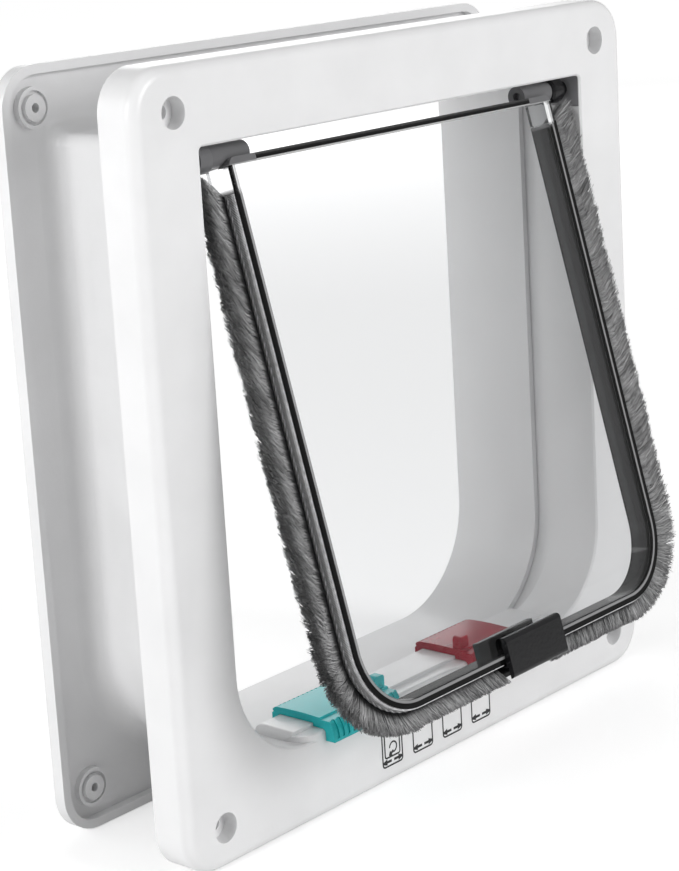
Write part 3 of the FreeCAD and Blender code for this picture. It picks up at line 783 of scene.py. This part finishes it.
def selvedge(name, side, settings):
    """Two-strand twisted cord woven along the tape, before the fibres."""
    radius = settings.cord_radius / MM
    steps = int(sum(edge_lengths()) / settings.cord_pitch * CORD_STEPS)
    twist = np.linspace(0.0, sum(edge_lengths()), steps) / settings.cord_pitch * math.pi
    centre_offset = TAPE_OFFSET + TAPE_THICKNESS + radius * 0.1
    centre_y = PILE_FRONT - CORD_GAP - radius
    angles = 2.0 * math.pi * np.arange(CORD_SIDES) / CORD_SIDES
    rows = []
    for angle in angles:
        lobes = radius * (1.0 - CORD_GROOVE + CORD_GROOVE * np.cos(2.0 * (angle - twist)))
        rows.append((centre_offset + lobes * math.cos(angle), centre_y + lobes * math.sin(angle)))
    along = np.repeat(-twist / math.pi, CORD_SIDES)
    across = np.tile(angles / math.pi + CORD_WEAVE, steps)
    return edge_sweep(name, side, rows, steps, (("along", along), ("across", across)))


def recalculate_normals(piece):
    """Point a closed piece's faces outwards."""
    work = bmesh.new()
    work.from_mesh(piece.data)
    bmesh.ops.recalc_face_normals(work, faces=work.faces)
    work.to_mesh(piece.data)
    work.free()
    piece.data.update()


class PETFLAP_OT_brush_seals(bpy.types.Operator):
    """Stand the brush fibres on both sides of the flap"""
    bl_idname = "petflap.brush_seals"
    bl_label = "Brush Seals"

    def execute(self, context):
        settings = context.scene.pet_flap_brush
        material = fur("brush fibre", settings.root, settings.tip)
        for name, side in (("left", -1), ("right", 1)):
            core = pile_core(name + "_pile_core", side, settings)
            piece = brush(name + "_brush", side, settings)
            for part in (core, piece):
                part.data.materials.append(material)
                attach(part, "flap")
            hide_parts(name + "_seal_pile")
        return {"FINISHED"}


class PETFLAP_OT_backing_tapes(bpy.types.Operator):
    """Lay the woven tapes that carry the fibres"""
    bl_idname = "petflap.backing_tapes"
    bl_label = "Backing Tapes"

    def execute(self, context):
        settings = context.scene.pet_flap_brush
        material = woven_tape("woven tape", settings.tape)
        for name, side in (("left", -1), ("right", 1)):
            band = tape_band(name + "_tape", side)
            cord = selvedge(name + "_selvedge", side, settings)
            for piece in (band, cord):
                piece.data.materials.append(material)
                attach(piece, "flap")
            select_only([cord])
            bpy.ops.object.shade_smooth()
            deselect_all()
            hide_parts(name + "_seal_backing")
        return {"FINISHED"}


def printed_plate(name, width, height, x, z, turn=0.0, taper=1.0):
    """A flat plate before the front face; taper makes its right end that many times as tall."""
    deselect_all()
    bpy.ops.mesh.primitive_plane_add(
        size=1.0, location=(0.0, 0.0, 0.0), rotation=(math.pi / 2, 0.0, 0.0))
    plate = bpy.context.object
    plate.name = name
    plate.scale = (width, height, 1.0)
    bpy.ops.object.transform_apply(location=False, rotation=True, scale=True)
    for vertex in plate.data.vertices:
        if vertex.co.x > 0.0:
            vertex.co.z *= taper
    plate.rotation_euler = (0.0, turn, 0.0)
    plate.location = (x, -INK_LIFT * MM, z)
    bpy.ops.object.transform_apply(location=True, rotation=True, scale=True)
    return plate


def select_only(pieces):
    """Only the given pieces selected, the first one active."""
    deselect_all()
    for piece in pieces:
        piece.select_set(True)
    bpy.context.view_layer.objects.active = pieces[0]


def sign_frame(name, width, height, x, z, line):
    """Outline of a rounded rectangle: a plate with cut corners, inset by a line and opened."""
    plate = printed_plate(name, width, height, x, z)
    bpy.ops.object.mode_set(mode="EDIT")
    bpy.ops.mesh.select_all(action="SELECT")
    bpy.ops.mesh.bevel(offset=width * 0.13, segments=4, affect="VERTICES")
    bpy.ops.mesh.select_all(action="SELECT")
    bpy.ops.mesh.inset(thickness=line)
    bpy.ops.mesh.delete(type="FACE")
    bpy.ops.object.mode_set(mode="OBJECT")
    return plate


def arrow(name, x, z, length, signs, turn=0.0):
    """A short shaft with a broad head; it points to the left unless turned."""
    back = Vector((math.cos(turn), 0.0, -math.sin(turn))) * length
    shaft = printed_plate(
        name + "_shaft", length * 0.55, signs.arrow * 0.4, x + back.x * 0.2, z + back.z * 0.2, turn)
    head = printed_plate(
        name, length * 0.5, signs.arrow * 0.2, x - back.x * 0.25, z - back.z * 0.25, turn, taper=5.0)
    return [head, shaft]


def swing_mark(name, x, z, radius, signs):
    """A bent arrow: part of a ring with a head at its lower left end."""
    deselect_all()
    bpy.ops.mesh.primitive_circle_add(vertices=28, radius=radius, fill_type="NGON")
    ring = bpy.context.object
    ring.name = name
    bpy.ops.object.mode_set(mode="EDIT")
    bpy.ops.mesh.select_all(action="SELECT")
    bpy.ops.mesh.inset(thickness=signs.line)
    bpy.ops.mesh.delete(type="FACE")
    bpy.ops.object.mode_set(mode="OBJECT")
    ring.rotation_euler = (math.pi / 2, 0.0, 0.0)
    ring.location = (x, -INK_LIFT * MM, z)
    bpy.ops.object.transform_apply(location=True, rotation=True, scale=True)
    work = bmesh.new()
    work.from_mesh(ring.data)
    gone = [f for f in work.faces if f.calc_center_median().x < x and f.calc_center_median().z < z]
    bmesh.ops.delete(work, geom=gone, context="FACES")
    work.to_mesh(ring.data)
    work.free()
    return [ring] + arrow(name + "_head", x - radius * 0.5, z - radius * 0.9, radius * 1.3, signs, -0.5)


def door_mark(name, x, low, high, signs):
    """A door's outline with a bent arrow in it."""
    door = sign_frame(
        name + "_door", signs.width * 0.76, high - low, x, (low + high) / 2, signs.line)
    return [door] + swing_mark(
        name + "_swing", x + SWING_ASIDE * MM, low + SWING_RISE * MM, SWING_RADIUS * MM, signs)


class PETFLAP_OT_printed_signs(bpy.types.Operator):
    """Print the four setting signs under the opening"""
    bl_idname = "petflap.printed_signs"
    bl_label = "Printed Signs"

    def execute(self, context):
        signs = context.scene.pet_flap_signs
        material = ink("printing ink", signs.ink)
        aside = signs.width * 0.27
        for place in range(SIGN_COUNT):
            x = SIGN_FIRST_X * MM + signs.pitch * place
            z = SIGN_LOW * MM + signs.height / 2
            row_z = (SIGN_LOW + ARROW_RISE) * MM
            name = "setting_sign_%d" % (place + 1)
            marks = [sign_frame(name, signs.width, signs.height, x, z, signs.line)]
            marks += arrow(name + "_left", x - aside, row_z, ARROW_LENGTH * MM, signs)
            marks += arrow(name + "_right", x + aside, row_z, ARROW_LENGTH * MM, signs, math.pi)
            if place == 0:
                marks += door_mark(name, x, row_z + DOOR_RISE * MM, z + signs.height * 0.38, signs)
            select_only(marks)
            bpy.ops.object.join()
            sign = context.object
            sign.name = name
            solidify = sign.modifiers.new("ink", "SOLIDIFY")
            solidify.thickness = INK_LIFT * MM * 0.8
            solidify.offset = 0.0
            bpy.ops.object.modifier_apply(modifier="ink")
            recalculate_normals(sign)
            sign.data.materials.clear()
            sign.data.materials.append(material)
            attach(sign, "frame")
            deselect_all()
        return {"FINISHED"}


class PETFLAP_OT_stage(bpy.types.Operator):
    """Lay the floor, hang the lamps and set the camera"""
    bl_idname = "petflap.stage"
    bl_label = "Stage"

    def execute(self, context):
        studio = context.scene.pet_flap_studio
        low, _ = CAD_BOX
        add_floor(low.z)
        add_world(studio)
        add_lamps(studio)
        add_camera(studio)
        context.scene.view_settings.view_transform = "Standard"
        return {"FINISHED"}


def shown_white(nodes, links):
    """A factor that is 1 for what the camera or a clear piece sees, and less for what a gloss sees."""
    path = nodes.new("ShaderNodeLightPath")
    gloss = maths(nodes, links, "MULTIPLY", path.outputs["Is Glossy Ray"], GLOSS_SHARE)
    seen = maths(nodes, links, "MAXIMUM", path.outputs["Is Camera Ray"], gloss)
    return maths(nodes, links, "MAXIMUM", seen, path.outputs["Is Transmission Ray"])


def add_floor(height):
    """A wide white floor under the part, which glows more where the lamps reach it less."""
    deselect_all()
    bpy.ops.mesh.primitive_plane_add(size=FLOOR_SIDE, location=(0.0, 0.0, height - FLOOR_GAP))
    floor = bpy.context.object
    floor.name = "floor"
    material, nodes, links, shader = new_material("floor white")
    shader.inputs["Base Color"].default_value = (0.86, 0.86, 0.86, 1.0)
    shader.inputs["Roughness"].default_value = 0.9
    shader.inputs["Specular IOR Level"].default_value = 0.0
    away = nodes.new("ShaderNodeVectorMath")
    away.operation = "LENGTH"
    links.new(object_coordinates(nodes, links), away.inputs[0])
    level = nodes.new("ShaderNodeMapRange")
    for end, (far, strength) in (("Min", GLOW_NEAR), ("Max", GLOW_FAR)):
        level.inputs["From " + end].default_value = far
        level.inputs["To " + end].default_value = strength
    links.new(away.outputs["Value"], level.inputs["Value"])
    glow = maths(nodes, links, "MULTIPLY", level.outputs["Result"], shown_white(nodes, links))
    shader.inputs["Emission Color"].default_value = (1.0, 1.0, 1.0, 1.0)
    links.new(glow, shader.inputs["Emission Strength"])
    floor.data.materials.append(material)


def add_world(studio):
    """Even white surround, pure white where it is seen."""
    world = bpy.data.worlds.new("white surround")
    bpy.context.scene.world = world
    world.use_nodes = True
    nodes, links = world.node_tree.nodes, world.node_tree.links
    background = nodes["Background"]
    background.inputs["Color"].default_value = (1.0, 1.0, 1.0, 1.0)
    strength = nodes.new("ShaderNodeMapRange")
    strength.inputs["To Min"].default_value = studio.sky
    strength.inputs["To Max"].default_value = 1.0
    links.new(shown_white(nodes, links), strength.inputs["Value"])
    links.new(strength.outputs["Result"], background.inputs["Strength"])


def aimed(place, target):
    """Rotation that looks from a place to a target."""
    return (Vector(target) - Vector(place)).to_track_quat("-Z", "Y").to_euler()


def add_lamps(studio):
    """Soft lamps at the left, in front, above and behind on both sides."""
    lamps = (
        ("side lamp", (-1.5, 0.1, 0.45), 0.8, studio.side_power),
        ("front lamp", (0.5, -1.8, 0.65), 1.0, studio.front_power),
        ("top lamp", (0.0, -0.75, 2.0), 1.0, studio.top_power),
        ("back lamp", (-0.75, 1.4, 0.35), 0.8, studio.back_power),
        ("right lamp", (1.2, 1.3, 0.6), 1.0, studio.right_power),
    )
    for name, place, size, power in lamps:
        data = bpy.data.lights.new(name, "AREA")
        data.shape = "DISK"
        data.size = size
        data.energy = power
        lamp = bpy.data.objects.new(name, data)
        bpy.context.scene.collection.objects.link(lamp)
        lamp.location = place
        lamp.rotation_euler = aimed(place, (0.0, 0.0, 0.0))


def add_camera(studio):
    """The camera at the picture's viewpoint."""
    data = bpy.data.cameras.new("camera")
    camera = bpy.data.objects.new("camera", data)
    bpy.context.scene.collection.objects.link(camera)
    data.sensor_width = FILM_SIDE
    data.lens = studio.focal_length
    data.shift_x = (PICTURE_SIZE[0] / 2 - PRINCIPAL_POINT[0]) / PICTURE_SIZE[1]
    data.shift_y = (PRINCIPAL_POINT[1] - PICTURE_SIZE[1] / 2) / PICTURE_SIZE[1]
    forward = Vector(CAMERA_FORWARD).normalized()
    right = Vector(CAMERA_RIGHT)
    right = (right - right.dot(forward) * forward).normalized()
    up = right.cross(forward)
    turn = Matrix((right, up, -forward)).transposed()
    camera.rotation_euler = turn.to_euler()
    camera.location = studio.camera_place
    bpy.context.scene.camera = camera


class PETFLAP_PT_sidebar(bpy.types.Panel):
    """The pieces, in the order they are made"""
    bl_label = "Pet Flap"
    bl_idname = "PETFLAP_PT_sidebar"
    bl_space_type = "VIEW_3D"
    bl_region_type = "UI"
    bl_category = "Pet Flap"

    def draw(self, context):
        for operator in OPERATORS:
            self.layout.operator(operator.bl_idname)
        for name, group in SETTINGS:
            box = self.layout.box()
            box.label(text=group.__doc__)
            for key in group.__annotations__:
                box.prop(getattr(context.scene, name), key)


OPERATORS = (
    PETFLAP_OT_plastic_finishes,
    PETFLAP_OT_backing_tapes,
    PETFLAP_OT_brush_seals,
    PETFLAP_OT_printed_signs,
    PETFLAP_OT_stage,
)


def register():
    """Make the settings, operators and panel known."""
    for name, group in SETTINGS:
        bpy.utils.register_class(group)
        setattr(bpy.types.Scene, name, PointerProperty(type=group))
    for operator in OPERATORS:
        bpy.utils.register_class(operator)
    bpy.utils.register_class(PETFLAP_PT_sidebar)


def unregister():
    """Take them away again."""
    bpy.utils.unregister_class(PETFLAP_PT_sidebar)
    for operator in reversed(OPERATORS):
        bpy.utils.unregister_class(operator)
    for name, group in reversed(SETTINGS):
        delattr(bpy.types.Scene, name)
        bpy.utils.unregister_class(group)


def main():
    """Dress the part, piece by piece."""
    register()
    deselect_all()
    bpy.ops.petflap.plastic_finishes()
    bpy.ops.petflap.backing_tapes()
    bpy.ops.petflap.brush_seals()
    bpy.ops.petflap.printed_signs()
    bpy.ops.petflap.stage()
    deselect_all()


if __name__ == "__main__":
    main()
